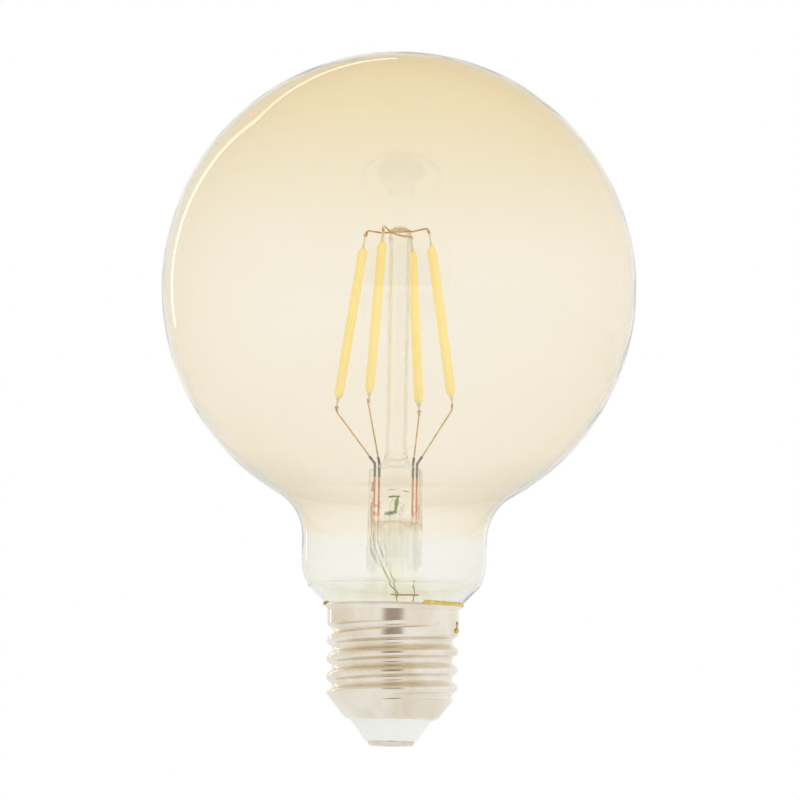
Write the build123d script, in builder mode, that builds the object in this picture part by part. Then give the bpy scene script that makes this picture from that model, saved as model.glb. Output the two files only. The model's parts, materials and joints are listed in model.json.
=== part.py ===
from build123d import *

import os
from math import asin, atan, atan2, cos, degrees, hypot, radians, sin, sqrt, tan

# An LED filament bulb with a round globe and an Edison screw cap, in millimetres.
# The axis of the bulb is Z, the cap points down, and the origin is the middle of the centre contact.

os.makedirs("parts", exist_ok=True)

# Glass globe and neck
globe_r = 47.5
globe_wall = 0.8
neck_r = 18.45
neck_length = 4.13
neck_blend_r = 10.0
neck_turn_z = 37.2
seam_r = 17.2
seam_z = 31.8
seam_ledge = 0.35
seam_slope = 48.0
skirt_r = 12.3
skirt_z = 25.2

# Screw cap, of thin sheet with a rolled round thread
sheet = 0.3
thread_pitch = 3.629
thread_r = 13.1
thread_depth = 1.15
thread_proud = 0.02
groove_z = 13.52
groove_turns_up = 2.5
groove_turns_down = 1.5
run_out_turn = 140.0
rim_z = 26.65
rim_curl_r = 1.1
rim_curl = 68.0
bowl_z = 5.15
bowl_mouth_r = 8.4
bowl_lip_r = 2.2
bowl_lip_turn = 78.0
bowl_slope = 38.4
bowl_shoulder_r = 1.6
bead_r = 0.42
bead_ring_r = 13.6
bead_z = 28.05
bead_spans = ((-64.0, 62.0), (168.0, 22.0))
cement_top_z = 27.85

# Insulator and centre contact
insulator_z = 0.9
insulator_flat_r = 5.1
insulator_belly_r = 6.65
insulator_belly_z = 3.1
insulator_brim_r = 8.2
insulator_top_z = 7.6
contact_r = 4.6
contact_round = 0.75
contact_hub_r = 1.5
contact_hub_h = 1.6
contact_dish_r = 1.7
contact_dish_depth = 0.3
contact_solder_round = 0.2
bore_gap = 0.05

# Glass stem: flared tube, flattened pinch, exhaust tube and support rod
tube_r = 5.6
tube_wall = 0.8
flare_turn_r = 4.5
flare_turn_z = 34.1
flare_slope = 30.0
shoulder_z = 45.6
pinch_z = 47.6
pinch_top_z = 55.3
pinch_width = 10.8
pinch_depth = 5.4
pinch_corner_r = 2.2
pinch_crown_r = 0.73
exhaust_r = 2.0
exhaust_wall = 0.75
exhaust_tip_z = 24.4
exhaust_top_z = 50.4
exhaust_port_r = 1.0
exhaust_port_z = 48.6
rod_r = 2.15
rod_foot_z = 51.8
button_r = 2.45
button_z = 102.5
button_top_z = 103.9
button_waist_z = 100.4

# Ring of four filaments, counted from the left as seen from the front
filament_angles = (156.4, 246.4, 66.4, 336.4)
ring_x = -0.55
ring_top_r = 7.4
ring_top_z = 99.8
ring_foot_r = 12.35
ring_foot_z = 69.4
phosphor_r = 0.95
phosphor_tip_r = 0.5
phosphor_taper = 1.5
strip_width = 0.8
strip_thick = 0.35
strip_reach = 0.5
tab_width = 0.5
tab_thick = 0.2
top_tab_length = 2.9
foot_tab_length = 2.0
weld_length = 0.8

# Wires
wire_r = 0.17
hook_bend_r = 0.4
top_wire_gap = 0.1
top_wire_bend_r = 1.5
button_clear = 0.9
lead_x = (-4.2, -3.3, 3.45, 4.25)
stub_r = 0.26
stub_foot_z = 53.5
stub_bend_z = 56.2
stub_reach = 1.9
stub_bend_r = 0.6
seal_r = 0.2
seal_foot_z = (42.1, 41.8, 43.9, 43.0)
seal_gap = 0.03
outer_lead_r = 0.14
outer_lead_drop = 1.1
outer_bend_r = 0.5
lead_front_y = -3.1
lead_front_way = ((-3.8, -1.2, 39.2), (-2.2, -3.0, 35.2), (-0.6, lead_front_y, 32.0))
lead_back_y = 2.75
lead_back_way = ((-2.8, 1.6, 39.0), (-1.5, 3.1, 36.4), (0.2, 3.2, 32.4), (1.2, lead_back_y, 27.0))
lead_back_foot_x = 3.2
link_r = 0.16
link_length = 5.5
link_start_x = -0.5
link_z = 30.1
link_hook_x = (1.1, 0.5)
link_hook_rise = 0.3
link_hook_drop = 0.7
link_hook_in = 0.2
pigtail_x = 4.0
pigtail_z = 19.6
pigtail_top_z = 32.2
pigtail_bow = ((-0.1, -1.2), (0.2, 0.5))
pigtail_lean = 0.15

# Driver in the cap
board_width = 16.4
board_height = 14.6
board_thick = 1.0
board_seat_depth = 0.8
board_gap = 0.1
block_bevel = 0.125
bridge_size = (4.7, 2.4, 4.0)
bridge_x = -5.2
bridge_z = 12.2
chip_size = (4.9, 1.5, 3.9)
chip_x = 4.6
chip_z = 13.0
resistor_size = (2.0, 0.6, 1.25)
resistor_x = (2.6, 6.4)
resistor_z = 17.6
capacitor_r = 3.15
capacitor_length = 9.0
capacitor_z = 8.6
capacitor_groove = 0.35
capacitor_groove_z = 1.4
fuse_r = 1.15
fuse_length = 6.0
fuse_end_r = 0.35
fuse_y = -2.1
fuse_foot_z = 10.2
fuse_lead_r = 0.28
fuse_lead_bend_r = 0.6
fuse_lead_rise = 1.3
contact_lead_over = 0.2
contact_lead_under = 0.4
contact_lead_straight = 1.2
contact_lead_bend_r = 0.35
shell_lead_r = 0.2
shell_lead_x = 7.2
shell_lead_z = 20.4
shell_lead_stand = 1.7
shell_lead_straight = 1.4
side_joint_angle = -17.0
side_joint_z = 22.9
side_joint_r = 0.55


def polar(radius, angle, z=0.0):
    """A point at a radius and an angle in degrees about the axis of the bulb."""
    return Vector(radius * cos(radians(angle)), radius * sin(radians(angle)), z)


def radial_plane(angle):
    """The upright plane through the axis, its x outward at the angle and its y up."""
    return Plane(origin=(0, 0, 0), x_dir=polar(1, angle), z_dir=polar(1, angle - 90))


def keep(builder, name):
    """Label a finished piece and write it."""
    builder.part.label = name
    export_step(builder.part, f"parts/{name}.step")


def make_wire(name, points, radius, bend):
    """A round wire along straight runs joined by tangent bends."""
    with BuildPart() as piece:
        with BuildLine() as route:
            FilletPolyline(*points, radius=bend)
        with BuildSketch(Plane(route.line @ 0, z_dir=route.line % 0)):
            Circle(radius)
        sweep()
    keep(piece, name)
    return piece.part


def make_block(name, size, center):
    """A plain moulded component, standing with its middle at the given point."""
    with BuildPart() as piece:
        with Locations(center):
            Box(*size)
        chamfer(piece.edges().filter_by(Axis.Y), min(size) * block_bevel)
    keep(piece, name)


# Glass envelope: globe, blend and neck, each tangent to the next, then a ledge and the cone into the collar
blend_x = neck_r + neck_blend_r
blend_z = neck_turn_z + neck_length
globe_z = blend_z + sqrt((globe_r + neck_blend_r) ** 2 - blend_x**2)
crown_z = globe_z + globe_r
blend_angle = degrees(atan2(blend_z - globe_z, blend_x))
turn_in = neck_r - seam_r
turn_down = neck_turn_z - seam_z
turn_r = (turn_in**2 + turn_down**2) / (2 * turn_in)
turn_angle = degrees(atan2(turn_down, turn_r - turn_in))


def envelope(inset):
    """The glass envelope as a solid, drawn a given distance inside its outer surface."""
    skirt = skirt_r - inset
    neck = neck_r - inset
    with BuildPart() as body:
        with BuildSketch(Plane.XZ):
            with BuildLine():
                CenterArc((0, globe_z), globe_r - inset, blend_angle, 90 - blend_angle)
                CenterArc((blend_x, blend_z), neck_blend_r + inset, 180 + blend_angle, -blend_angle)
                Line((neck, blend_z), (neck, neck_turn_z))
                turn = CenterArc((neck_r - turn_r, neck_turn_z), turn_r - inset, 0, -turn_angle)
                seam = turn @ 1
                cone_top = (seam.X - seam_ledge, seam.Y)
                cone_foot = (skirt, seam.Y - (cone_top[0] - skirt) * tan(radians(seam_slope)))
                Polyline(seam, cone_top, cone_foot, (skirt, skirt_z), (0, skirt_z), (0, crown_z - inset))
            make_face()
        revolve(axis=Axis.Z)
    return body.part


outside = envelope(0)
cavity = envelope(globe_wall)

with BuildPart() as glass_globe:
    add(outside)
    add(cavity, mode=Mode.SUBTRACT)
keep(glass_globe, "glass_globe")


# Screw shell: a bowl with a turned-in lip, a straight collar with a curled rim, and the rolled thread
half_pitch = thread_pitch / 2
groove_height = thread_depth + thread_proud
thread_round = (groove_height**2 + half_pitch**2) / (4 * groove_height)
root_x = thread_r - thread_depth + thread_round
crest_x = thread_r + thread_proud - thread_round
flank_angle = degrees(atan2(half_pitch, crest_x - root_x))
run_out_climb = degrees(atan(groove_height * 360 / (run_out_turn * thread_pitch)))
slope = radians(bowl_slope)
lip_turn = bowl_lip_turn - bowl_slope
lip_x = bowl_mouth_r - bowl_lip_r * cos(radians(bowl_lip_turn))
lip_z = bowl_z + bowl_lip_r * sin(radians(bowl_lip_turn))
shoulder_x = thread_r - bowl_shoulder_r
bowl_top_z = lip_z + ((shoulder_x - lip_x) * cos(slope) + bowl_shoulder_r - bowl_lip_r) / sin(slope)
curl_x = thread_r + rim_curl_r


def thread_groove(turn, turns, climb, inset):
    """What a length of the round thread takes out of the blank, from a turn counted from +X."""
    middle_z = groove_z + turn * thread_pitch
    crest_arc = thread_round - inset
    edge_angle = degrees(asin(thread_proud / crest_arc))
    edge_z = half_pitch - crest_arc * sin(radians(edge_angle))
    crest_turn = 180 - flank_angle - edge_angle
    outer_x = thread_r + groove_height
    start, rise = (0, 0, middle_z), turns * thread_pitch
    with BuildPart() as groove:
        with BuildLine():
            Helix(thread_pitch / cos(radians(climb)), rise, thread_r, center=start, cone_angle=climb)
        with BuildSketch(Plane.XZ):
            with BuildLine():
                CenterArc((root_x, middle_z), thread_round + inset, flank_angle, 360 - 2 * flank_angle)
                upper = CenterArc((crest_x, middle_z + half_pitch), crest_arc, flank_angle - 180, crest_turn)
                lower = CenterArc((crest_x, middle_z - half_pitch), crest_arc, edge_angle, crest_turn)
                Polyline(upper @ 1, (outer_x, middle_z + edge_z), (outer_x, middle_z - edge_z), lower @ 0)
            make_face()
        sweep(binormal=Edge.make_line(start, (0, 0, middle_z + rise)))
    return groove.part.rotate(Axis.Z, 360 * turn)


def cap_form(inset):
    """The rolled cap as a solid, drawn a given distance inside the outer surface of its sheet."""
    groove = thread_groove(-groove_turns_down, groove_turns_down + groove_turns_up, 0, inset)
    run_out = thread_groove(groove_turns_up, run_out_turn / 360, run_out_climb, inset)
    with BuildPart() as form:
        with BuildSketch(Plane.XZ):
            with BuildLine():
                lip = CenterArc((lip_x, lip_z), bowl_lip_r - inset, -bowl_lip_turn, lip_turn)
                shoulder_arc = bowl_shoulder_r - inset
                shoulder = CenterArc((shoulder_x, bowl_top_z), shoulder_arc, -bowl_slope, bowl_slope)
                curl = CenterArc((curl_x, rim_z), rim_curl_r + inset, 180, -rim_curl)
                mouth = PolarLine(lip @ 0, sheet + inset, -bowl_lip_turn)
                edge = PolarLine(curl @ 1, 2 * sheet - inset, 180 - rim_curl)
                Line(lip @ 1, shoulder @ 0)
                Line(shoulder @ 1, curl @ 0)
                Polyline(edge @ 1, (0, (edge @ 1).Y), (0, (mouth @ 1).Y), mouth @ 1)
            make_face()
        revolve(axis=Axis.Z)
        add(groove, mode=Mode.SUBTRACT)
        add(run_out, mode=Mode.SUBTRACT)
    return form.part


cap_outside = cap_form(0)
cap_inside = cap_form(sheet)

side_joint = Plane(origin=(0, 0, side_joint_z), z_dir=polar(1, side_joint_angle))

with BuildPart() as screw_shell:
    add(cap_outside)
    add(cap_inside, mode=Mode.SUBTRACT)
    with BuildSketch(side_joint):
        Circle(shell_lead_r + bore_gap)
    extrude(amount=thread_r + sheet, mode=Mode.SUBTRACT)
keep(screw_shell, "screw_shell")

# Cement between the neck's skirt and the collar, squeezed out over the rim in two places
with BuildPart() as basing_cement:
    with BuildSketch(Plane.XY.offset(skirt_z)):
        Circle(curl_x)
        Circle(skirt_r, mode=Mode.SUBTRACT)
    extrude(amount=cement_top_z - skirt_z)
    add(cap_inside, mode=Mode.INTERSECT)
    for start, span in bead_spans:
        with BuildSketch(radial_plane(start)):
            with Locations((bead_ring_r, bead_z)):
                Circle(bead_r)
        revolve(axis=Axis.Z, revolution_arc=span)
    add(screw_shell.part, mode=Mode.SUBTRACT)
    add(outside, mode=Mode.SUBTRACT)
keep(basing_cement, "basing_cement")

# Insulator, filling the bowl of the shell, with a seat for the board and a bore for the lead
board_foot_z = insulator_top_z - board_seat_depth

with BuildPart() as plug:
    with BuildSketch(Plane.XY.offset(bowl_z)):
        Circle(thread_r)
    extrude(amount=insulator_top_z - bowl_z)
    add(cap_inside, mode=Mode.INTERSECT)

with BuildPart() as cap_insulator:
    with BuildSketch(Plane.XZ):
        with BuildLine():
            brim, foot = (insulator_brim_r, bowl_z), (insulator_flat_r, insulator_z)
            Polyline(brim, (0, bowl_z), (0, insulator_z), foot)
            ThreePointArc(foot, (insulator_belly_r, insulator_belly_z), brim)
        make_face()
    revolve(axis=Axis.Z)
    add(plug.part)
    with BuildSketch(Plane.XY.offset(board_foot_z)):
        Rectangle(board_width + 2 * board_gap, board_thick + 2 * board_gap)
    extrude(amount=board_seat_depth, mode=Mode.SUBTRACT)
    with BuildSketch(Plane.XY.offset(insulator_z)):
        Circle(contact_hub_r + bore_gap)
    extrude(amount=insulator_top_z, mode=Mode.SUBTRACT)
keep(cap_insulator, "cap_insulator")

# Centre contact, a pressed disc with a hub, a shallow dish and the soldered end of the lead
with BuildPart() as centre_contact:
    with BuildSketch():
        Circle(contact_r)
    extrude(amount=insulator_z)
    fillet(centre_contact.edges().group_by(Axis.Z)[0], contact_round)
    with BuildSketch(Plane.XY.offset(insulator_z)):
        Circle(contact_hub_r)
    extrude(amount=contact_hub_h)
    with BuildSketch():
        Circle(contact_dish_r)
    extrude(amount=contact_dish_depth, mode=Mode.SUBTRACT)
    with BuildSketch():
        Circle(fuse_lead_r + bore_gap)
    extrude(amount=insulator_z + contact_hub_h, mode=Mode.SUBTRACT)
keep(centre_contact, "centre_contact")

with BuildPart() as contact_solder:
    with BuildSketch(Plane.XY.offset(bore_gap)):
        Circle(contact_dish_r - bore_gap)
    extrude(amount=contact_dish_depth - bore_gap)
    fillet(contact_solder.edges().group_by(Axis.Z)[0], contact_solder_round)
    with BuildSketch():
        Circle(fuse_lead_r)
    extrude(amount=contact_dish_depth, mode=Mode.SUBTRACT)
keep(contact_solder, "contact_solder")

# Glass stem: support rod with its button, exhaust tube, and the flared tube with its pinch
top_wire_reach = button_r + button_clear
top_wire_planes = [
    Plane(origin=(ring_x, 0, button_z + side * (wire_r + top_wire_gap / 2)), z_dir=polar(1, angle))
    for side, angle in zip((1, -1), filament_angles)
]

with BuildPart() as support_rod:
    with BuildSketch(Plane.XZ):
        with BuildLine():
            Polyline((rod_r, button_waist_z), (rod_r, rod_foot_z), (0, rod_foot_z), (0, button_top_z))
            Spline(
                (0, button_top_z),
                (button_r, button_z),
                (rod_r, button_waist_z),
                tangents=((1, 0), (0, -1)),
            )
        make_face()
    revolve(axis=Axis.Z)
    for plane in top_wire_planes:
        with BuildSketch(plane):
            Circle(wire_r + seal_gap)
        extrude(amount=top_wire_reach, both=True, mode=Mode.SUBTRACT)
keep(support_rod, "support_rod")

with BuildPart() as exhaust_tube:
    with BuildSketch(Plane.XY.offset(exhaust_tip_z)):
        Circle(exhaust_r)
    extrude(amount=exhaust_top_z - exhaust_tip_z)
    fillet(exhaust_tube.edges().group_by(Axis.Z)[0], exhaust_r - exhaust_wall)
    with BuildSketch(Plane.XY.offset(exhaust_tip_z + exhaust_wall)):
        Circle(exhaust_r - exhaust_wall)
    extrude(amount=exhaust_top_z - exhaust_tip_z - 2 * exhaust_wall, mode=Mode.SUBTRACT)
    with BuildSketch(Plane.XZ):
        with Locations((0, exhaust_port_z)):
            Circle(exhaust_port_r)
    extrude(amount=exhaust_r, mode=Mode.SUBTRACT)
keep(exhaust_tube, "exhaust_tube")

shoulder_gap = pinch_z - shoulder_z
flare_x = tube_r + flare_turn_r
flare_reach = neck_r - flare_x

with BuildPart() as stem_flare:
    with BuildSketch(Plane.XZ):
        with BuildLine():
            gas_side = CenterArc((flare_x, flare_turn_z), flare_turn_r, 180, 90 + flare_slope)
            air_side = CenterArc((flare_x, flare_turn_z), flare_turn_r + tube_wall, 180, 90 + flare_slope)
            gas_rim = PolarLine(gas_side @ 1, flare_reach / cos(radians(flare_slope)), flare_slope)
            air_rim = PolarLine(air_side @ 1, flare_reach / cos(radians(flare_slope)), flare_slope)
            Line(gas_rim @ 1, air_rim @ 1)
            Polyline(
                gas_side @ 0,
                (tube_r, shoulder_z),
                (0, shoulder_z),
                (0, shoulder_z - tube_wall),
                (tube_r - tube_wall, shoulder_z - tube_wall),
                air_side @ 0,
            )
        make_face()
    revolve(axis=Axis.Z)
    add(cavity, mode=Mode.INTERSECT)
    with BuildSketch(Plane.XY.offset(shoulder_z)):
        Circle(tube_r)
    with BuildSketch(Plane.XY.offset(pinch_z)):
        RectangleRounded(pinch_width, pinch_depth, pinch_corner_r)
    loft()
    with BuildSketch(Plane.XY.offset(pinch_z)):
        RectangleRounded(pinch_width, pinch_depth, pinch_corner_r)
    extrude(amount=pinch_top_z - pinch_z)
    fillet(stem_flare.edges().group_by(Axis.Z)[-1], pinch_crown_r)
    with BuildSketch(Plane.XY.offset(exhaust_tip_z)):
        Circle(exhaust_r)
    extrude(amount=exhaust_top_z - exhaust_tip_z, mode=Mode.SUBTRACT)
    with BuildSketch(Plane.XY.offset(rod_foot_z)):
        Circle(rod_r)
    extrude(amount=pinch_top_z - rod_foot_z, mode=Mode.SUBTRACT)
    with BuildSketch(Plane.XZ):
        with Locations((0, exhaust_port_z)):
            Circle(exhaust_port_r)
    extrude(amount=pinch_depth, mode=Mode.SUBTRACT)
    for x in lead_x:
        with BuildSketch(Plane.XY.offset(exhaust_tip_z)):
            with Locations((x, 0)):
                Circle(seal_r + seal_gap)
        extrude(amount=pinch_top_z - exhaust_tip_z, mode=Mode.SUBTRACT)
        with BuildSketch(Plane.XY.offset(stub_foot_z)):
            with Locations((x, 0)):
                Circle(stub_r + seal_gap)
        extrude(amount=pinch_top_z - stub_foot_z, mode=Mode.SUBTRACT)
keep(stem_flare, "stem_flare")


# Filaments: each a strip of small lamps in a coat of phosphor, with a tab at each end
ring = Vector(ring_x, 0, 0)
weld_gap = tab_thick / 2 + wire_r


def filament_plane(angle):
    """The frame of a filament: its origin at the foot, z along it and y towards the axis of the ring."""
    foot = ring + polar(ring_foot_r, angle, ring_foot_z)
    top = ring + polar(ring_top_r, angle, ring_top_z)
    return Plane(origin=foot, x_dir=polar(1, angle + 90), z_dir=top - foot)


filament_length = hypot(ring_foot_r - ring_top_r, ring_top_z - ring_foot_z)
top_tab_z = filament_length + strip_reach
foot_tab_z = -strip_reach - foot_tab_length
hook_high_z = (top_tab_z + top_tab_length - weld_length, top_tab_z + top_tab_length + wire_r)
hook_low_z = (foot_tab_z + weld_length, foot_tab_z - wire_r)
hook_high = []
hook_low = []

for number, angle in enumerate(filament_angles, start=1):
    frame = filament_plane(angle)

    with BuildPart() as strip:
        with BuildSketch(frame.offset(-strip_reach)):
            Rectangle(strip_width, strip_thick)
        extrude(amount=filament_length + 2 * strip_reach)
    keep(strip, f"filament_strip_{number}")

    with BuildPart() as phosphor:
        with BuildSketch(frame):
            Circle(phosphor_tip_r)
        with BuildSketch(frame.offset(phosphor_taper)):
            Circle(phosphor_r)
        loft()
        with BuildSketch(frame.offset(phosphor_taper)):
            Circle(phosphor_r)
        extrude(amount=filament_length - 2 * phosphor_taper)
        with BuildSketch(frame.offset(filament_length - phosphor_taper)):
            Circle(phosphor_r)
        with BuildSketch(frame.offset(filament_length)):
            Circle(phosphor_tip_r)
        loft()
        add(strip.part, mode=Mode.SUBTRACT)
    keep(phosphor, f"filament_phosphor_{number}")

    for name, start, length in (("top", top_tab_z, top_tab_length), ("foot", foot_tab_z, foot_tab_length)):
        with BuildPart() as tab:
            with BuildSketch(frame.offset(start)):
                Rectangle(tab_width, tab_thick)
            extrude(amount=length)
        keep(tab, f"filament_{name}_tab_{number}")

    hook_high.append([frame.from_local_coords((0, weld_gap, z)) for z in hook_high_z])
    hook_low.append([frame.from_local_coords((0, weld_gap, z)) for z in hook_low_z])

# Top wires through the button, each joining two filaments across the ring
for number, (plane, one, other) in enumerate(zip(top_wire_planes, (0, 1), (3, 2)), start=1):
    make_wire(
        f"top_wire_{number}",
        [
            *hook_high[one],
            plane.from_local_coords((0, 0, top_wire_reach)),
            plane.from_local_coords((0, 0, -top_wire_reach)),
            *reversed(hook_high[other]),
        ],
        wire_r,
        (hook_bend_r, top_wire_bend_r, top_wire_bend_r, hook_bend_r),
    )

# Leads up through the pinch: a sealed wire, a thicker stub, and a thin wire out to the filament's hook
for number, (x, foot_z, (hook_tip, hook_foot)) in enumerate(zip(lead_x, seal_foot_z, hook_low), start=1):
    with BuildPart() as seal_wire:
        with BuildSketch(Plane.XY.offset(foot_z)):
            with Locations((x, 0)):
                Circle(seal_r)
        extrude(amount=stub_foot_z - foot_z)
    keep(seal_wire, f"seal_wire_{number}")

    bend = Vector(x, 0, stub_bend_z)
    stub_end = bend + (hook_foot - bend).normalized() * stub_reach
    make_wire(f"lead_stub_{number}", [(x, 0, stub_foot_z), bend, stub_end], stub_r, stub_bend_r)
    make_wire(f"lower_wire_{number}", [stub_end, hook_foot, hook_tip], wire_r, hook_bend_r)

# Outer leads, out of the tube into the cap
board_face = board_thick / 2
link_y = lead_front_y - outer_lead_r - link_r - bore_gap

make_wire(
    "outer_lead_front",
    [
        (lead_x[0], 0, seal_foot_z[0]),
        (lead_x[0], 0, seal_foot_z[0] - outer_lead_drop),
        *lead_front_way,
        (link_hook_x[0], lead_front_y, link_z + link_hook_rise),
        (link_hook_x[1], lead_front_y + link_hook_in, link_z - link_hook_drop),
    ],
    outer_lead_r,
    outer_bend_r,
)
make_wire(
    "outer_lead_back",
    [
        (lead_x[1], 0, seal_foot_z[1]),
        (lead_x[1], 0, seal_foot_z[1] - outer_lead_drop),
        *lead_back_way,
        (lead_back_foot_x, lead_back_y, pigtail_z),
        (lead_back_foot_x, board_face, pigtail_z),
    ],
    outer_lead_r,
    outer_bend_r,
)
make_wire(
    "driver_pigtail",
    [
        (pigtail_x, -board_face, pigtail_z),
        (pigtail_x, lead_front_y, pigtail_z),
        *[(pigtail_x + aside, lead_front_y, link_z + up) for aside, up in pigtail_bow],
        (pigtail_x - pigtail_lean, lead_front_y, pigtail_top_z),
    ],
    outer_lead_r,
    outer_bend_r,
)

with BuildPart() as link_wire:
    with BuildSketch(Plane.YZ.offset(link_start_x)):
        with Locations((link_y, link_z)):
            Circle(link_r)
    extrude(amount=link_length)
keep(link_wire, "link_wire")

# Driver: an upright board in the insulator's seat, with its parts on both faces
with BuildPart() as driver_board:
    with BuildSketch(Plane.XY.offset(board_foot_z)):
        Rectangle(board_width, board_thick)
    extrude(amount=board_height)
    chamfer(driver_board.edges().filter_by(Axis.Y).group_by(Axis.Z)[-1], board_thick)
keep(driver_board, "driver_board")

make_block("bridge_rectifier", bridge_size, (bridge_x, -board_face - bridge_size[1] / 2, bridge_z))
make_block("driver_chip", chip_size, (chip_x, -board_face - chip_size[1] / 2, chip_z))
for number, x in enumerate(resistor_x, start=1):
    make_block(f"chip_resistor_{number}", resistor_size, (x, -board_face - resistor_size[1] / 2, resistor_z))

capacitor_plane = Plane(origin=(0, board_face + capacitor_r, capacitor_z), x_dir=(1, 0, 0), z_dir=(0, -1, 0))
capacitor_axis = Axis(capacitor_plane.origin, (0, 0, 1))

with BuildPart() as capacitor:
    with BuildSketch(capacitor_plane):
        with BuildLine():
            Polyline(
                (0, 0),
                (capacitor_r, 0),
                (capacitor_r, capacitor_groove_z - capacitor_groove),
                (capacitor_r - capacitor_groove, capacitor_groove_z),
                (capacitor_r, capacitor_groove_z + capacitor_groove),
                (capacitor_r, capacitor_length),
                (0, capacitor_length),
                (0, 0),
            )
        make_face()
    revolve(axis=capacitor_axis)
    fillet(capacitor.edges().group_by(Axis.Z)[-1], capacitor_groove)
keep(capacitor, "smoothing_capacitor")

with BuildPart() as fuse:
    with BuildSketch(Plane.XY.offset(fuse_foot_z)):
        with Locations((0, fuse_y)):
            Circle(fuse_r)
    extrude(amount=fuse_length)
    fillet(fuse.edges().filter_by(GeomType.CIRCLE), fuse_end_r)
keep(fuse, "fusible_resistor")

make_wire(
    "fuse_top_lead",
    [
        (0, fuse_y, fuse_foot_z + fuse_length),
        (0, fuse_y, fuse_foot_z + fuse_length + fuse_lead_rise),
        (0, -board_face, fuse_foot_z + fuse_length + fuse_lead_rise),
    ],
    fuse_lead_r,
    fuse_lead_bend_r,
)
bore_y = -(contact_hub_r - 2 * fuse_lead_r)
make_wire(
    "contact_lead",
    [
        (0, fuse_y, fuse_foot_z),
        (0, fuse_y, fuse_foot_z - fuse_lead_rise),
        (0, bore_y, insulator_top_z + contact_lead_over),
        (0, bore_y, board_foot_z - contact_lead_under),
        (0, 0, insulator_z + contact_hub_h + contact_lead_straight),
        (0, 0, bore_gap),
    ],
    fuse_lead_r,
    contact_lead_bend_r,
)
shell_lead_end = side_joint.from_local_coords((0, 0, thread_r))
shell_lead = make_wire(
    "shell_lead",
    [
        (shell_lead_x, -board_face, shell_lead_z),
        (shell_lead_x, -board_face - shell_lead_stand, shell_lead_z),
        side_joint.from_local_coords((0, 0, thread_r - thread_depth - shell_lead_straight)),
        shell_lead_end,
    ],
    shell_lead_r,
    outer_bend_r,
)

with BuildPart() as side_solder:
    with Locations(shell_lead_end):
        Sphere(side_joint_r)
    add(cap_outside, mode=Mode.SUBTRACT)
    add(shell_lead, mode=Mode.SUBTRACT)
keep(side_solder, "side_solder")
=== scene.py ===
# %% [markdown]
# # A round filament bulb, dressed for its picture
# The solids of the bulb come ready made, in their real places. This script gives each of them its finish,
# and models again the pieces whose surface has to be finer than a solid's: the blown glass, the pressed
# stem and the coats of phosphor. It adds the small marks that the making of a bulb leaves: the port in
# the pinch, films on the seals, curls at the welds and flux at the solder. Everything is in metres, the
# axis of the bulb is Z, the cap points down and the middle of its contact is the origin.

# %% Load the frame
import json
from math import atan2, cos, degrees, pi, radians, sin, sqrt, tan

import bpy
from mathutils import Euler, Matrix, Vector


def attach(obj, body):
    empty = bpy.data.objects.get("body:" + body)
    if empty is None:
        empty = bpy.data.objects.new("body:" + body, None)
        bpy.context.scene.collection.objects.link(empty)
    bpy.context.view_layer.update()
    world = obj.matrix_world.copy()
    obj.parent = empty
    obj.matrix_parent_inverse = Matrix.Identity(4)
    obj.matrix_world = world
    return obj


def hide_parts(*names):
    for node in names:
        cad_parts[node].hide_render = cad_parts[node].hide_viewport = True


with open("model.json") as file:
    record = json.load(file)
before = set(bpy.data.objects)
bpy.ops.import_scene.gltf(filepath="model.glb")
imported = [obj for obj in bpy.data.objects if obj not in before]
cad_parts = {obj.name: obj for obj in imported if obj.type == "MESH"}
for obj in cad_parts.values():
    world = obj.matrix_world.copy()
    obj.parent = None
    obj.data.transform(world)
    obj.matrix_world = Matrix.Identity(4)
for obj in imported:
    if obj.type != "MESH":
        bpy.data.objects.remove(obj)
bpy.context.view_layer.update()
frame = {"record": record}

mm = 0.001
nodes = {item.name: item for item in bpy.data.objects if item.type == "MESH"}

# %% [markdown]
# ## The camera
# The bulb was looked at from a little below, from about a metre away, through a long lens, and it leans
# a degree to the right. The frame is 800 pixels wide and 0.1997 mm of the bulb falls on each pixel.
# A target point, a distance, an angle of view and a roll say all that more plainly than a matrix would.

# %% Camera
photo_size = 800
scale_per_pixel = 0.1997 * mm
camera_distance = 1.1
camera_elevation = radians(-5.4)
camera_roll = radians(1.05)
target = Vector((0.58 * mm, 0, 69.0 * mm))
film_width = 36.0

camera_data = bpy.data.cameras.new("camera")
camera_data.sensor_width = film_width
camera_data.lens = film_width * camera_distance / (photo_size * scale_per_pixel)
camera_data.clip_end = 20
camera = bpy.data.objects.new("camera", camera_data)
bpy.context.scene.collection.objects.link(camera)
camera.location = target + camera_distance * Vector((0, -cos(camera_elevation), sin(camera_elevation)))
looking = (target - camera.location).to_track_quat("-Z", "Y")
camera.rotation_euler = (looking @ Euler((0, 0, camera_roll)).to_quaternion()).to_euler()
bpy.context.scene.camera = camera
print("lens", round(camera_data.lens, 1), "mm, camera at", [round(v, 3) for v in camera.location])

# %% [markdown]
# ## Shader arithmetic
# A material here is a small formula: how far the coating reaches, how strong a stain is. Written as nodes
# one by one, such a formula is hard to read. A class that stands for one socket and adds a Math node for
# each sum lets it be written as plain arithmetic instead.


# %% Sockets that can be added and multiplied
class Signal:
    """One output socket of a material, on which arithmetic adds Math nodes."""

    def __init__(self, paint, socket):
        self.paint = paint
        self.socket = socket

    def math(self, operation, first, second):
        return self.paint.node("ShaderNodeMath", {"operation": operation}, {0: first, 1: second})

    def __add__(self, other):
        return self.math("ADD", self, other)

    def __sub__(self, other):
        return self.math("SUBTRACT", self, other)

    def __rsub__(self, other):
        return self.math("SUBTRACT", other, self)

    def __mul__(self, other):
        return self.math("MULTIPLY", self, other)

    def __pow__(self, other):
        return self.math("POWER", self, other)

    __radd__ = __add__
    __rmul__ = __mul__


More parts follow.
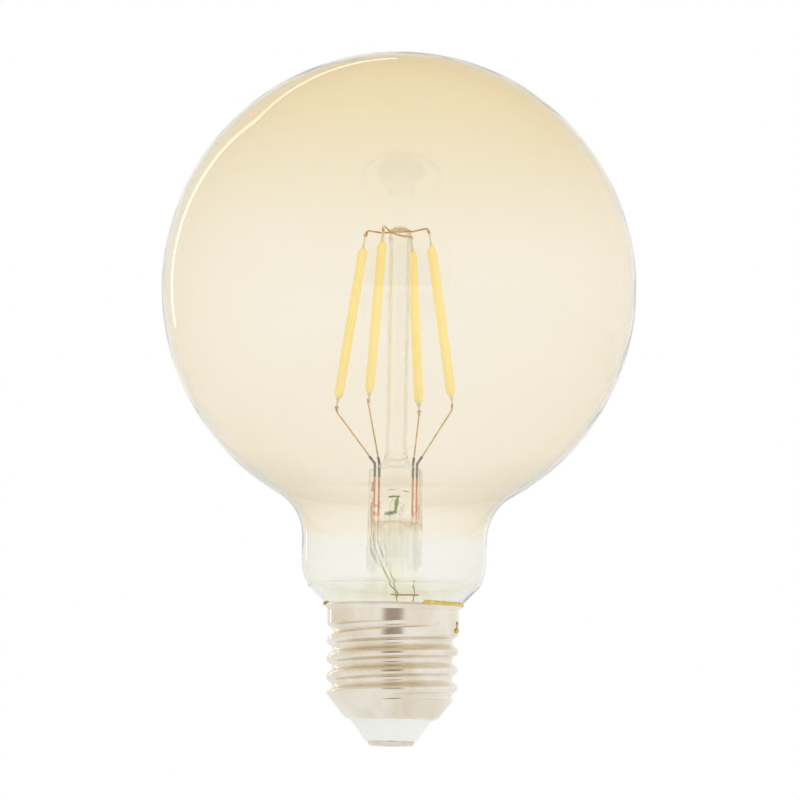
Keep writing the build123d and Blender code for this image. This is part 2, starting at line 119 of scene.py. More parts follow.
class Paint:
    """A material and the ways to add nodes to it."""

    def __init__(self, name):
        self.material = bpy.data.materials.new(name)
        self.material.use_nodes = True
        self.tree = self.material.node_tree
        self.tree.nodes.clear()
        self.place = self.node("ShaderNodeTexCoord", output="Object")

    def node(self, kind, settings=None, inputs=None, output=0):
        """Add a node with its settings and its inputs, each a value or the output of another node."""
        made = self.tree.nodes.new(kind)
        for key, value in (settings or {}).items():
            setattr(made, key, value)
        for key, value in (inputs or {}).items():
            socket = made.inputs[key]
            if isinstance(value, Signal):
                self.tree.links.new(value.socket, socket)
            elif socket.type == "RGBA" and len(value) == 3:
                socket.default_value = (*value, 1)
            else:
                socket.default_value = value
        return Signal(self, made.outputs[output])

    def axis(self, name):
        """One coordinate of the point on the object, in metres."""
        return self.node("ShaderNodeSeparateXYZ", inputs={0: self.place}, output=name)

    def noise(self, size, detail=3.0, roughness=0.55, stretch=(1, 1, 1), distortion=0.0):
        """Noise from 0 to 1 with lumps of about the given size in metres, longer where stretch is larger."""
        scale = tuple(1 / (size * s) for s in stretch)
        where = self.node("ShaderNodeMapping", inputs={0: self.place, "Scale": scale})
        lumps = {"Detail": detail, "Roughness": roughness, "Distortion": distortion}
        return self.node("ShaderNodeTexNoise", inputs={"Vector": where, "Scale": 1.0, **lumps})

    def between(self, value, low, high):
        """0 below low and 1 above high, with a smooth step from one to the other."""
        return self.node(
            "ShaderNodeMapRange",
            {"interpolation_type": "SMOOTHSTEP"},
            {"Value": value, "From Min": low, "From Max": high, "To Min": 0.0, "To Max": 1.0},
        )

    def mix(self, factor, first, second):
        """Two colours mixed."""
        return self.node(
            "ShaderNodeMix", {"data_type": "RGBA"}, {"Factor": factor, 6: first, 7: second}, output=2
        )

    def blend(self, factor, first, second):
        """Two shaders mixed."""
        return self.node("ShaderNodeMixShader", inputs={0: factor, 1: first, 2: second})

    def ray(self, kind):
        """1 for a ray of a kind and 0 for the others."""
        return self.node("ShaderNodeLightPath", output=f"Is {kind} Ray")

    def bump(self, height, distance):
        """A normal that follows a height from 0 to 1, over a distance in metres."""
        return self.node("ShaderNodeBump", inputs={"Height": height, "Distance": distance, "Strength": 1.0})

    def surface(self, **inputs):
        """The Principled shader, with an underscore for each space in the name of an input."""
        named = {key.replace("_", " "): value for key, value in inputs.items()}
        return self.node("ShaderNodeBsdfPrincipled", inputs=named)

    def finish(self, shader):
        """Make a shader the surface of the material."""
        out = self.tree.nodes.new("ShaderNodeOutputMaterial")
        self.tree.links.new(shader.socket, out.inputs["Surface"])
        return self.material


def srgb(red, green, blue):
    """A colour given as it looks on a screen, 0 to 255, in the linear values that shaders take."""
    shares = (red / 255, green / 255, blue / 255)
    return tuple(((share + 0.055) / 1.055) ** 2.4 for share in shares)


# %% [markdown]
# ## Glass
# Clear glass shows only by what it bends and mirrors, so its colour has to be very pale: light passes four
# surfaces on its way through a globe, and each takes its share of the tint. The globe has an amber
# coating inside that ends in a soft, slightly dripped edge above the neck, so its tint is a mix, set by
# height with a little noise. Towards the rim the wall is looked through lengthwise, and the tint deepens.
# A volume inside the wall would do the same more truly, but takes far longer to render. Rays on their
# way to a lamp pass straight through, or the wires inside would stand in the dark.

# %% Glass finishes
glass_ior = 1.5
clear_face, clear_rim, stem_rim = srgb(254, 254, 252), srgb(222, 226, 206), srgb(240, 240, 228)
neck_face, neck_rim = srgb(249, 249, 245), srgb(220, 221, 206)
amber_thin, amber_thick = srgb(251, 248, 240), srgb(250, 245, 233)
# The last colour here is a painted shade for the edges of the globe's shoulder, tinted like thick glass.
amber_crown, amber_rim, shoulder_shade_green = srgb(248, 239, 215), srgb(234, 210, 152), srgb(128, 130, 94)
port_face, port_rim = srgb(124, 158, 106), srgb(70, 104, 60)

coat_edge_z, coat_edge_soft, coat_drip = 41.4 * mm, 1.6 * mm, 4.0 * mm
crown_from, crown_to = 94 * mm, 140 * mm
shoulder_rise, shoulder_fall = (44 * mm, 48 * mm), (52 * mm, 60 * mm)
flare_fade, flare_share, tube_share = (34 * mm, 37 * mm), 0.05, 0.5


def rim(paint, blend=0.25, power=3.0):
    """From 0 where the glass faces the eye to 1 where it is seen along its wall."""
    return paint.node("ShaderNodeLayerWeight", inputs={"Blend": blend}, output="Facing") ** power


def glass(paint, tint, waves, wave_height, **more):
    """The shader of a polished, slightly wavy glass."""
    return paint.surface(
        Base_Color=tint,
        Roughness=0.0,
        IOR=glass_ior,
        Transmission_Weight=1.0,
        Normal=paint.bump(waves, wave_height),
        **more,
    )


def straight_through(paint, tint):
    """A shader that doesn't bend light, and only tints it."""
    return paint.node("ShaderNodeBsdfTransparent", inputs={"Color": tint})


def finish_glass(paint, shader, tint):
    """Finish a glass that rays towards lamps pass with a tint."""
    return paint.finish(paint.blend(paint.ray("Shadow"), shader, straight_through(paint, tint)))


def clear_glass_paint(name, face_tint, edge_tint, wave_height):
    """Glass with faint streaks along the axis and a deeper tint where it is seen along its wall."""
    paint = Paint(name)
    tint = paint.mix(rim(paint), face_tint, edge_tint)
    streaks = paint.noise(6 * mm, stretch=(1, 1, 3))
    return finish_glass(paint, glass(paint, tint, streaks, wave_height), face_tint)


def stem_glass_paint():
    """Glass that lets part of the light straight through, most of it in the thin flare."""
    paint = Paint("stem_glass")
    tint = paint.mix(rim(paint), clear_face, stem_rim)
    bent = glass(paint, tint, paint.noise(6 * mm, stretch=(1, 1, 3)), 0.03 * mm)
    above_flare = paint.between(paint.axis("Z"), *flare_fade)
    bent_share = flare_share + above_flare * (tube_share - flare_share)
    both = paint.blend(bent_share, straight_through(paint, srgb(255, 255, 253)), bent)
    return finish_glass(paint, both, clear_face)


def coated_glass_paint():
    """The globe's glass: amber down to the dripped edge of the coating, deepest at the crown and rim, with a
    painted shade at the shoulder's edges.
    """
    paint = Paint("coated_glass")
    height = paint.axis("Z")
    drip = (paint.noise(7 * mm, detail=2.0, stretch=(1, 1, 0.4)) - 0.5) * coat_drip
    coated = paint.between(height + drip, coat_edge_z - coat_edge_soft, coat_edge_z + coat_edge_soft)
    edge = rim(paint, 0.3, 2.0)
    amber = paint.mix(paint.noise(30 * mm, detail=2.0), amber_thin, amber_thick)
    amber = paint.mix(paint.between(height, crown_from, crown_to), amber, amber_crown)
    amber = paint.mix(edge, amber, amber_rim)
    # Painted shade: where the shoulder is seen along its wall, the glass turns a dark grey-green, partly the
    # green of thick glass.
    shoulder_shade = paint.between(height, *shoulder_rise) * (1 - paint.between(height, *shoulder_fall))
    amber = paint.mix(edge**1.3 * shoulder_shade, amber, shoulder_shade_green)
    clear = paint.mix(edge, neck_face, neck_rim)
    waves = paint.noise(14 * mm, detail=2.0)
    tint = paint.mix(coated, clear, amber)
    shader = glass(paint, tint, waves, 0.05 * mm, Specular_Tint=(1.0, 0.98, 0.92))
    return finish_glass(paint, shader, srgb(252, 247, 235))


coated_glass = coated_glass_paint()
clear_glass = clear_glass_paint("clear_glass", clear_face, clear_rim, 0.03 * mm)
stem_glass = stem_glass_paint()
port_glass = clear_glass_paint("port_glass", port_face, port_rim, 0.02 * mm)
print("glass finishes ready")

# %% [markdown]
# ## Metals
# The shell is thin sheet with a warm nickel plate, drawn and then rolled, so it carries faint rings round
# the axis, soft stains and small rubbed spots. The wires are drawn, so their colour varies along them.
# A scanned texture could show all that, but would stretch over the thread. One recipe in object
# coordinates serves every metal: a colour that wanders between two tones, and a fine grain that sets
# roughness and bump. Each row of the table gives the two colours, the size of the patches, the range of
# the roughness, the size and height of the grain, and how far the grain is drawn out along each axis.
# Its sizes and heights are in mm.


# %% Metal finishes
def metal_paint(name, light, dark, patch, roughness, grain, grain_height, stretch):
    """A metal between two colours, in patches and with a grain of the sizes given."""
    paint = Paint(name)
    patches = paint.between(paint.noise(patch, detail=5.0, distortion=0.6), 0.3, 0.75)
    fine = paint.noise(grain, detail=4.0, stretch=stretch)
    rough = roughness[0] + fine * (roughness[1] - roughness[0])
    return paint.finish(
        paint.surface(
            Base_Color=paint.mix(patches, light, dark),
            Metallic=1.0,
            Roughness=rough,
            Normal=paint.bump(fine, grain_height),
        )
    )


metal_table = (
    ("nickel_sheet", (238, 233, 222), (222, 210, 190), 9, (0.12, 0.2), 0.5, 0.004, (6, 6, 0.5)),
    ("nickel_contact", (230, 224, 212), (202, 192, 176), 3, (0.2, 0.35), 0.3, 0.006, (1, 1, 1)),
    ("solder", (232, 204, 130), (188, 154, 84), 0.8, (0.35, 0.6), 0.3, 0.02, (1, 1, 1)),
    ("tab_steel", (252, 246, 228), (242, 234, 208), 0.8, (0.35, 0.55), 0.2, 0.004, (1, 1, 3)),
    ("copper_wire", (246, 226, 190), (214, 188, 148), 2, (0.3, 0.5), 0.2, 0.004, (1, 1, 4)),
    ("top_copper", (232, 182, 116), (186, 130, 72), 1.2, (0.28, 0.45), 0.2, 0.004, (1, 1, 1)),
    ("stub_steel", (178, 178, 176), (124, 124, 124), 1, (0.3, 0.5), 0.2, 0.006, (1, 1, 3)),
    ("seal_copper", (255, 206, 172), (240, 158, 116), 1, (0.3, 0.5), 0.2, 0.006, (1, 1, 3)),
    ("tinned_wire", (226, 210, 176), (184, 164, 124), 2, (0.3, 0.5), 0.2, 0.004, (1, 1, 4)),
    ("brass_wire", (216, 184, 112), (178, 142, 72), 2, (0.3, 0.5), 0.2, 0.004, (4, 1, 1)),
)
metals = {}
for name, light, dark, patch, rough, grain, height, stretch in metal_table:
    metals[name] = metal_paint(
        name, srgb(*light), srgb(*dark), patch * mm, rough, grain * mm, height * mm, stretch
    )
print(len(metals), "metal finishes ready")

# %% [markdown]
# ## Phosphor, plastics and cement
# The phosphor is a powder in silicone, laid over a strip. It turns blue light to yellow, so under a lamp
# it looks brighter than a paint of its colour. Behind the glass it also gets too little light. Subsurface
# scattering would soften it but not lift it, so it has a painted glow instead: a faint emission of its own.
# The insulator, the cement and the hidden parts of the driver are plain rough bodies. Their table has the
# columns of the metals' table, apart from the last.


# %% Soft and dull finishes
def body_paint(name, light, dark, patch, roughness, grain, grain_height):
    """A dull body between two colours, in patches and with a grain of the sizes given."""
    paint = Paint(name)
    patches = paint.between(paint.noise(patch, detail=4.0), 0.3, 0.7)
    fine = paint.noise(grain)
    return paint.finish(
        paint.surface(
            Base_Color=paint.mix(patches, light, dark),
            Roughness=roughness[0] + fine * (roughness[1] - roughness[0]),
            Normal=paint.bump(fine, grain_height),
        )
    )


def phosphor_paint():
    """Matt silicone full of phosphor, which turns part of the light that falls on it to yellow, with a faint
    painted glow.
    """
    paint = Paint("phosphor")
    patches = paint.noise(2.5 * mm, detail=2.0)
    grains = paint.noise(0.3 * mm)
    return paint.finish(
        paint.surface(
            Base_Color=paint.mix(patches, srgb(255, 246, 196), srgb(255, 240, 172)),
            Roughness=paint.between(grains, 0.2, 0.8) * 0.2 + 0.45,
            # Painted glow: a faint emission that lifts the coats, though the bulb is not lit.
            Emission_Color=paint.mix(patches, srgb(255, 226, 130), srgb(255, 218, 104)),
            Emission_Strength=0.24,
            Normal=paint.bump(grains, 0.02 * mm),
        )
    )


body_table = (
    ("strip_ceramic", (255, 252, 236), (250, 244, 220), 2, (0.4, 0.6), 0.2, 0.005),
    ("insulator_plastic", (252, 252, 248), (246, 247, 242), 4, (0.25, 0.4), 0.6, 0.008),
    ("cement", (240, 214, 126), (206, 172, 88), 1.5, (0.5, 0.8), 0.3, 0.05),
    ("board_laminate", (222, 222, 212), (202, 204, 190), 3, (0.35, 0.5), 0.3, 0.005),
    ("black_moulding", (38, 38, 40), (28, 28, 30), 1, (0.45, 0.6), 0.15, 0.01),
    ("capacitor_sleeve", (34, 34, 42), (24, 24, 30), 2, (0.2, 0.35), 0.4, 0.005),
    ("resistor_coat", (92, 142, 116), (74, 120, 96), 1.5, (0.25, 0.4), 0.3, 0.01),
)
bodies = {"phosphor": phosphor_paint()}
for name, light, dark, patch, rough, grain, height in body_table:
    bodies[name] = body_paint(name, srgb(*light), srgb(*dark), patch * mm, rough, grain * mm, height * mm)
print(len(bodies), "other finishes ready")

# %% [markdown]
# ## Finishes on the solids
# Each solid already names the slot that its finish belongs to. Each could be given its material by hand,
# but a table from slot to finish is shorter and leaves none out. Only the top wires, of a redder copper
# than the other wires of their slot, are picked out by name.

# %% Give each solid its finish
finishes = {**metals, **bodies, "coated_glass": coated_glass, "clear_glass": clear_glass}
for part in frame["record"]["subparts"]:
    node = nodes[part["node"]]
    node.data.materials.clear()
    finish_name = "top_copper" if part["node"].startswith("top_wire") else part["material_slot"]
    node.data.materials.append(finishes[finish_name])

# %% [markdown]
# ## Outlines to spin
# The globe was blown and the stem was shaped on a lathe, so both are an outline turned round the axis.
# The outline could be drawn as a curve and given a Screw modifier. Here it is walked point by point, by
# extruding one vertex, and then spun, which leaves a plain mesh with every ring where it is wanted.


# %% Spin an outline
merge_distance = 0.002 * mm


def arc(centre, radius, start, turn, steps):
    """Points along an arc in the plane of radius and height, in mm, from an angle in degrees."""
    angles = [radians(start + turn * i / steps) for i in range(steps + 1)]
    return [(centre[0] + radius * cos(a), centre[1] + radius * sin(a)) for a in angles]


def straight(radius, start, step, count):
    """Points along a straight wall, in mm, from a height and a step apart."""
    return [(radius, start + step * i) for i in range(count)]


def spin_outline(name, outline, steps):
    """A closed body of revolution about Z from its outline, radius and height in mm."""
    bpy.ops.object.select_all(action="DESELECT")
    bpy.ops.mesh.primitive_plane_add(size=mm)
    piece = bpy.context.object
    piece.name = piece.data.name = name
    bpy.ops.object.mode_set(mode="EDIT")
    bpy.ops.mesh.merge(type="CENTER")
    here = Vector((0, 0, 0))
    for number, (radius, height) in enumerate(outline):
        there = Vector((radius, 0, height)) * mm
        if number == 0:
            bpy.ops.transform.translate(value=there - here)
        else:
            bpy.ops.mesh.extrude_region_move(TRANSFORM_OT_translate={"value": there - here})
        here = there
    bpy.ops.mesh.select_all(action="SELECT")
    bpy.ops.mesh.spin(steps=steps, angle=2 * pi, center=(0, 0, 0), axis=(0, 0, 1))
    bpy.ops.mesh.select_all(action="SELECT")
    bpy.ops.mesh.remove_doubles(threshold=merge_distance)
    bpy.ops.mesh.normals_make_consistent(inside=False)
    bpy.ops.object.mode_set(mode="OBJECT")
    return piece


def turn_inside_out(piece):
    """Turn the faces of a hollow towards the air that it holds."""
    bpy.ops.object.mode_set(mode="EDIT")
    bpy.ops.mesh.select_all(action="SELECT")
    bpy.ops.mesh.flip_normals()
    bpy.ops.object.mode_set(mode="OBJECT")


def roughen(piece, lump_size, depth):
    """Push the surface in and out by clouds of a size, both in mm."""
    clouds = bpy.data.textures.new(piece.name, "CLOUDS")
    clouds.noise_scale = lump_size * mm
    rough = piece.modifiers.new("rough", "DISPLACE")
    rough.texture = clouds
    rough.texture_coords = "LOCAL"
    rough.strength = depth * mm
    bpy.ops.object.modifier_apply(modifier=rough.name)


def dress(piece, finish, slot, *replaced):
    """Give a piece its finish and its place in the model."""
    piece.data.materials.clear()
    piece.data.materials.append(finish)
    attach(piece, "root")
    if replaced:
        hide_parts(*replaced)


def smooth(piece, sharpest):
    """Shade a piece smooth, but for edges sharper than an angle in degrees."""
    bpy.ops.object.select_all(action="DESELECT")
    piece.select_set(True)
    bpy.context.view_layer.objects.active = piece
    bpy.ops.object.shade_smooth_by_angle(angle=radians(sharpest))


# %% [markdown]
# ## The globe
# A blown globe runs into its neck through one blend, narrows to a pressed seam with a small ledge, and
# ends in the cone that sits in the cap. Outer and inner surface are one closed outline, so that light is
# bent on the way in and on the way out as in real glass.

# %% Globe
globe_r, globe_wall = 47.5, 0.8
neck_r, neck_length, neck_blend_r, neck_turn_z = 18.45, 4.13, 10.0, 37.2
seam_r, seam_z, seam_slope = 17.2, 31.8, radians(48)
ledge = ((0.14, 0.19), (0.35, 0.38))  # in and down from the seam
skirt_r, skirt_z = 12.3, 25.2

blend_x = neck_r + neck_blend_r
blend_z = neck_turn_z + neck_length
globe_z = blend_z + sqrt((globe_r + neck_blend_r) ** 2 - blend_x**2)
blend_turn = degrees(atan2(globe_z - blend_z, blend_x))
seam_in, seam_down = neck_r - seam_r, neck_turn_z - seam_z
turn_r = (seam_in**2 + seam_down**2) / (2 * seam_in)
seam_turn = degrees(atan2(seam_down, turn_r - seam_in))


def globe_outline(inset):
    """The globe's outline from its crown to the foot of the skirt, a distance inside its surface."""
    points = arc((0, globe_z), globe_r - inset, 90, -90 - blend_turn, 80)
    points += arc((blend_x, blend_z), neck_blend_r + inset, 180 - blend_turn, blend_turn, 20)[1:]
    points += arc((neck_r - turn_r, neck_turn_z), turn_r - inset, 0, -seam_turn, 12)
    seam_x, seam_y = points[-1]
    points += [(seam_x - inwards, seam_y - down) for inwards, down in ledge]
    skirt = skirt_r - inset
    foot = seam_y - (points[-1][0] - skirt) * tan(seam_slope)
    return points + [(skirt, foot), (skirt, skirt_z)]


globe = spin_outline("blown_globe", globe_outline(0) + globe_outline(globe_wall)[::-1], 160)
smooth(globe, 75)
dress(globe, coated_glass, "coated_glass", "glass_globe")
print("globe:", len(globe.data.polygons), "faces, height of its centre", round(globe_z, 2))

# %% [markdown]
# ## The stem
# Flared tube, pinch, exhaust tube and support rod are separate solids, but in the real bulb they are
# melted into one. As one closed body they show no seams inside the glass. The outline runs down the rod,
# over the pinch and the tube to the rim of the flare, and back inside down to the sealed tip of the
# exhaust tube. After the spin, the hot glass round the wires is pressed flat between two jaws: there
# each point is moved in to the face of the jaw, more and more over the shoulder.

# %% Stem
tube_r, tube_wall = 5.6, 0.8
flare_x, flare_z, flare_r = 10.1, 34.1, 4.5
exhaust_r, exhaust_tip_z, tip_r = 2.0, 24.4, 1.6
rod_r, pinch_top_z, corner_r, jaw = 2.15, 55.3, 0.8, 2.7
press_from, press_to, top_margin = 40.5, 50.5, 0.1
narrowing = 0.035
bore_r = tube_r - tube_wall
dome_r, dome_z, dome_rise = (bore_r - exhaust_r) / 2, 42.3, 2.4
dome_turns = [radians(a) for a in range(0, 181, 15)]

button = [(0, 103.9), (1.1, 103.8), (1.9, 103.4), (2.35, 102.9), (2.45, 102.5), (2.42, 102.0), (2.3, 101.3)]
rod = [(2.18, 100.7)] + straight(rod_r, 100.2, -1.9, 22) + [(2.2, 59.4), (2.3, 58.2)]
crown = [(2.55, 57.2), (2.95, 56.4), (3.5, 55.8), (4.2, 55.42)]
crown += arc((tube_r - corner_r, pinch_top_z - corner_r), corner_r, 90, -90, 6)
wall = straight(tube_r, 54.0, -0.5, 40)
dish = arc((flare_x, flare_z), flare_r, 180, 120, 20)
flare_rim = [(16.6, 32.65), (16.4, 32.2), (16.05, 32.05), (14.8, 30.66)]
outside = button + rod + crown + wall + dish + flare_rim

under = arc((flare_x, flare_z), flare_r + tube_wall, 300, -120, 20)
inner_wall = straight(bore_r, 34.6, 0.9, 9)
dome = [(bore_r - dome_r + dome_r * cos(a), dome_z + dome_rise * sin(a)) for a in dome_turns]
exhaust = straight(exhaust_r, 41.0, -1.5, 10)
tip = arc((exhaust_r - tip_r, exhaust_tip_z + tip_r), tip_r, 0, -90, 6) + [(0, exhaust_tip_z)]
inside = under + inner_wall + dome + exhaust + tip


def press(piece):
    """Flatten the glass round the wires between two jaws."""
    for vertex in piece.data.vertices:
        height = vertex.co.z / mm
        share = min(max((height - press_from) / (press_to - press_from), 0), 1)
        share = share * share * (3 - 2 * share)
        limit = (tube_r + (jaw - tube_r) * share) * mm
        if press_from < height < pinch_top_z + top_margin:
            vertex.co.x *= 1 - narrowing * share
            vertex.co.y = min(max(vertex.co.y, -limit), limit)
    piece.data.update()


stem = spin_outline("pressed_stem", outside + inside, 72)
press(stem)
smooth(stem, 40)
dress(stem, stem_glass, "clear_glass", "stem_flare", "support_rod", "exhaust_tube")
print("stem:", len(stem.data.polygons), "faces")

# %% [markdown]
# ## Bore, port and films
# Air was pumped out through the exhaust tube and a port that was blown through the side of the pinch.
# The port is a crooked pocket with thick, greenish edges, the most visible mark in the clear glass. The
# jaws left two short press marks above it, and oxide left orange films beside the seal wires.
# The pockets could be cut out of the stem. It is simpler, and the same to a ray of light, to make each a
# hollow of its own inside the glass: a closed surface whose faces point into the air that it holds.

# %% Bore, port and films
bore_outline = [(0, 49.6), (0.7, 49.45), (1.15, 49.0), (1.25, 48.2)]
bore_outline += straight(1.25, 47.5, -1.5, 15)
bore_outline += [(1.1, 25.5), (0.6, 25.25), (0, 25.2)]
bore = spin_outline("exhaust_bore", bore_outline, 32)
turn_inside_out(bore)
smooth(bore, 35)
dress(bore, stem_glass, "clear_glass")

pocket_depth = 0.35
film_lumps, film_depth = 0.5, 0.12


def lump(name, place, size, lean, lump_size, depth, finish, slot, hollow=False):
    """A small irregular body: a ball stretched to its size in mm, leant, put in place and roughened."""
    bpy.ops.object.select_all(action="DESELECT")
    bpy.ops.mesh.primitive_ico_sphere_add(subdivisions=4, radius=mm / 2)
    piece = bpy.context.object
    piece.name = piece.data.name = name
    piece.scale = size
    piece.rotation_euler = (0, radians(lean), 0)
    piece.location = Vector(place) * mm
    bpy.ops.object.transform_apply(location=True, rotation=True, scale=True)
    roughen(piece, lump_size, depth)
    if hollow:
        turn_inside_out(piece)
    bpy.ops.object.shade_smooth()
    dress(piece, finish, slot)


port_table = (
    ("port_mouth", (-0.2, -2.0, 50.1), (2.5, 0.6, 0.6), -3, 1.1, port_glass),
    ("port_throat", (0.25, -2.0, 48.2), (0.9, 0.6, 3.8), 8, 1.1, port_glass),
    ("port_foot", (-0.8, -2.0, 46.3), (2.8, 0.6, 0.9), -12, 1.0, port_glass),
    ("port_bubble", (1.6, -1.9, 47.5), (0.7, 0.5, 2.0), 10, 0.9, clear_glass),
    ("press_mark_1", (-0.6, -2.3, 51.9), (1.7, 0.25, 0.2), -8, 0.8, port_glass),
    ("press_mark_2", (1.9, -2.3, 51.5), (2.2, 0.25, 0.2), 12, 0.8, port_glass),
)
for name, place, size, lean, lump_size, finish in port_table:
    lump(name, place, size, lean, lump_size, pocket_depth, finish, "clear_glass", hollow=True)

film_table = (
    ("film_left_rise", (-3.7, -2.2, 47.9), (3.0, 0.16, 0.22), -38),
    ("film_left_fall", (-3.7, -2.2, 47.9), (2.7, 0.16, 0.22), 34),
    ("film_left_ring", (-4.7, -2.1, 47.6), (0.22, 0.16, 2.6), 9),
    ("film_left_top", (-4.5, -2.1, 52.0), (0.5, 0.2, 1.7), 10),
    ("film_left_foot", (-4.5, -2.2, 45.0), (0.22, 0.16, 2.4), -14),
    ("film_right", (4.15, -2.1, 48.9), (0.3, 0.16, 5.0), 1),
    ("film_right_foot", (3.9, -2.2, 45.2), (0.25, 0.16, 1.9), -16),
)
for name, place, size, lean in film_table:
    lump(name, place, size, lean, film_lumps, film_depth, metals["seal_copper"], "seal_copper")
print("bore,", len(port_table), "pockets and marks,", len(film_table), "films")

# %% [markdown]
# ## Flux at the side joint
# The spot where the lead is soldered to the collar has a streak of golden flux above it. It could be a
# stain in the shell's finish, but it stands off the sheet, so it is two small lumps.

# %% Flux
flux_lumps, flux_depth = 0.6, 0.15
flux_table = (
    ("flux_streak", (12.75, -3.25, 23.9), (0.35, 0.35, 2.0), 10),
    ("flux_drop", (12.62, -3.6, 22.7), (0.9, 0.5, 0.6), 0),
)
for name, place, size, lean in flux_table:
    lump(name, place, size, lean, flux_lumps, flux_depth, bodies["cement"], "solder")
print(len(flux_table), "lumps of flux")

# %% [markdown]
# ## Phosphor coats
# The silicone was laid on by a needle that started and stopped, so each coat has rounded, slightly
# unequal ends and is a little uneven along its length. A cylinder with bevelled edges would have two ends
# alike. Instead an outline with its own rounding at each end is spun, turned to its place and roughened
# by a Displace modifier. Past each end, the weld leaves a small curl of wire.

# %% Coats and curls
filament_angles = (156.4, 246.4, 66.4, 336.4)
ring_x = -0.55
ring_top = (7.4, 99.8)
ring_foot = (12.35, 69.4)
coat_r, coat_rings = 0.97, 20
coat_ends = ((1.7, 1.3), (1.1, 0.9), (0.9, 1.0), (1.6, 2.0))
coat_lumps, coat_depth = 2.5, 0.12
curl_r, curl_wire_r, curl_below, curl_above = 0.3, 0.12, 1.75, 2.6


def ring_point(angle, radius, height):
    """A point on a ring of filament ends, from an angle in degrees and two lengths in mm."""
    return Vector((ring_x + radius * cos(radians(angle)), radius * sin(radians(angle)), height)) * mm


def coat_outline(length, foot_end, top_end):
    """The outline of a coat from its foot up, rounded over a height of its own at each end."""
    turns = [radians(a) for a in range(0, 91, 10)]
    span = length - foot_end - top_end
    foot = [(coat_r * sin(a), foot_end * (1 - cos(a))) for a in turns]
    middle = [(coat_r, foot_end + span * i / coat_rings) for i in range(1, coat_rings)]
    top = [(coat_r * cos(a), length - top_end * (1 - sin(a))) for a in turns]
    return foot + middle + top


def weld_curl(name, place, tilt):
    """A closed turn of wire left by a weld."""
    bpy.ops.object.select_all(action="DESELECT")
    bpy.ops.mesh.primitive_torus_add(
        major_radius=curl_r * mm,
        minor_radius=curl_wire_r * mm,
        major_segments=28,
        minor_segments=10,
        location=place,
        rotation=tilt,
    )
    curl = bpy.context.object
    curl.name = curl.data.name = name
    bpy.ops.object.transform_apply(location=True, rotation=True, scale=True)
    bpy.ops.object.shade_smooth()
    dress(curl, metals["top_copper"], "copper_wire")


for number, (angle, (foot_end, top_end)) in enumerate(zip(filament_angles, coat_ends), start=1):
    foot, top = ring_point(angle, *ring_foot), ring_point(angle, *ring_top)
    length = (top - foot).length / mm
    coat = spin_outline(f"phosphor_coat_{number}", coat_outline(length, foot_end, top_end), 32)
    coat.rotation_mode = "QUATERNION"
    coat.rotation_quaternion = (top - foot).to_track_quat("Z", "Y")
    coat.location = foot
    bpy.ops.object.transform_apply(location=True, rotation=True, scale=True)
    roughen(coat, coat_lumps, coat_depth)
    smooth(coat, 60)
    dress(coat, bodies["phosphor"], "phosphor", f"filament_phosphor_{number}")
    along = (top - foot).normalized()
    tilt = (radians(70 + 25 * number), radians(20 * number), radians(angle))
    weld_curl(f"weld_curl_foot_{number}", foot - along * curl_below * mm, tilt)
    weld_curl(f"weld_curl_top_{number}", top + along * curl_above * mm, tilt)
print(len(coat_ends), "coats,", round(length, 2), "mm long, with a curl past each end")

# %% [markdown]
# ## Light and surroundings
# A bright, even room with a pale floor well below the bulb, which is held up by its cap. Glass and bright
# metal show their shape by what they mirror. So the room is white to the camera and to rays bent by glass,
# gives a plain light to everything else, and keeps its shades for mirrored rays: a warm cast high up and
# to the left, and a darker spot on the camera's side. A picture of a real room could do that too, but its
# windows and furniture would show in the globe. Four soft lamps add shape. Only the two thin ones behind
# the bulb can be seen in the glass, as one pale arc along its rim. The floor can't be seen from below, so
# the cap can be looked at from there.

# %% Surroundings
room_light = 0.8
white = (1.0, 1.0, 1.0)
high_cast, high_reach = (0.8, 0.71, 0.58), (0.18, 0.75)
left_cast, left_reach, left_share = (0.86, 0.8, 0.68), (0.0, 0.9), 0.5
front_cast, front_reach = (0.38, 0.31, 0.26), (0.915, 0.99)
floor_size, floor_z, floor_glow = 8, -0.26, 0.75
bounces = 24


class Room(Paint):
    """The arithmetic of a material, used on the world."""

    def __init__(self):
        world = bpy.data.worlds.new("room")
        bpy.context.scene.world = world
        world.use_nodes = True
        self.tree = world.node_tree
        self.tree.nodes.clear()
        self.place = self.node("ShaderNodeTexCoord", output="Generated")

    def finish(self, shader):
        """Make a shader the surface of the world."""
        out = self.tree.nodes.new("ShaderNodeOutputWorld")
        self.tree.links.new(shader.socket, out.inputs["Surface"])


def straight_rays(paint):
    """1 for a ray that the eye follows: from the camera, mirrored or bent by glass."""
    seen = paint.ray("Camera")
    for kind in ("Glossy", "Transmission"):
        seen = seen.math("MAXIMUM", seen, paint.ray(kind))
    return seen


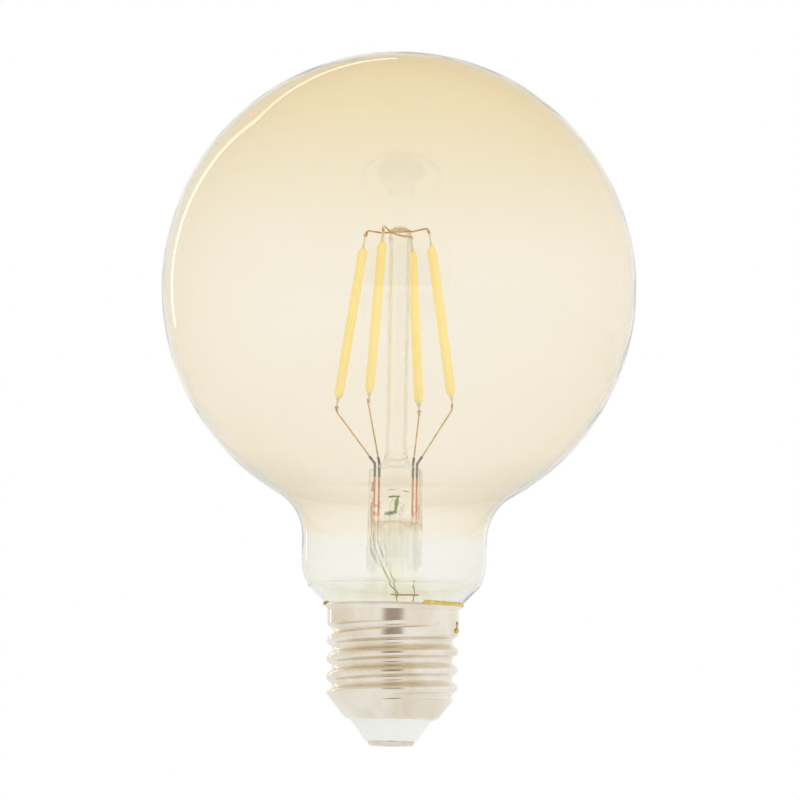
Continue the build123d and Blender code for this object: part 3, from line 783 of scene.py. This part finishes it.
room = Room()
high = room.between(room.axis("Z"), *high_reach)
left = room.between(room.axis("X") * -1, *left_reach) * left_share
front = room.between(room.axis("Y") * -1, *front_reach)
shades = room.mix(high, white, high_cast)
shades = room.mix(left, shades, left_cast)
shades = room.mix(front, shades, front_cast)
colour = room.mix(room.ray("Glossy"), white, shades)
strength = room_light + straight_rays(room) * (1 - room_light)
room.finish(room.node("ShaderNodeBackground", inputs={"Color": colour, "Strength": strength}))

bpy.ops.object.select_all(action="DESELECT")
bpy.ops.mesh.primitive_plane_add(size=floor_size, location=(0, 0, floor_z))
floor = bpy.context.object
floor.name = "floor"
floor_paint = Paint("floor_paper")
tone = floor_paint.mix(floor_paint.noise(4 * mm), (0.88, 0.88, 0.87), (0.92, 0.92, 0.91))
paper = floor_paint.surface(Base_Color=tone, Roughness=0.8)
glow = floor_paint.node("ShaderNodeEmission", inputs={"Color": white, "Strength": 1.0})
sheet = floor_paint.blend(straight_rays(floor_paint) * floor_glow, paper, glow)
below = floor_paint.node("ShaderNodeNewGeometry", output="Backfacing")
sheet = floor_paint.blend(below, sheet, straight_through(floor_paint, white))
floor.data.materials.append(floor_paint.finish(sheet))


def add_lamp(name, place, size, radiance, mirrored):
    """A soft lamp turned to the bulb, as bright as its face is said to be, and mirrored in it or not."""
    data = bpy.data.lights.new(name, "AREA")
    data.shape = "RECTANGLE"
    data.size, data.size_y = size
    data.energy = radiance * pi * size[0] * size[1]
    lamp = bpy.data.objects.new(name, data)
    bpy.context.scene.collection.objects.link(lamp)
    lamp.location = place
    lamp.rotation_euler = (Vector((0, 0, target.z)) - lamp.location).to_track_quat("-Z", "Y").to_euler()
    lamp.visible_camera = False
    lamp.visible_glossy = mirrored
    lamp.visible_transmission = False


lamp_table = (
    ("lamp_rim", (-0.75, 0.95, 0.5), (0.08, 0.95), 1.3, True),
    ("lamp_crown", (-0.35, 0.95, 0.95), (0.7, 0.06), 1.2, True),
    ("lamp_left", (-0.8, -0.7, 0.5), (0.7, 0.9), 0.9, False),
    ("lamp_right", (0.9, -0.55, 0.4), (0.7, 0.9), 1.2, False),
)
for lamp_values in lamp_table:
    add_lamp(*lamp_values)

bpy.context.scene.view_settings.view_transform = "Standard"
cycles = bpy.context.scene.cycles
cycles.max_bounces = bounces
cycles.transmission_bounces = bounces
cycles.transparent_max_bounces = bounces
print("room and", len(lamp_table), "lamps ready")
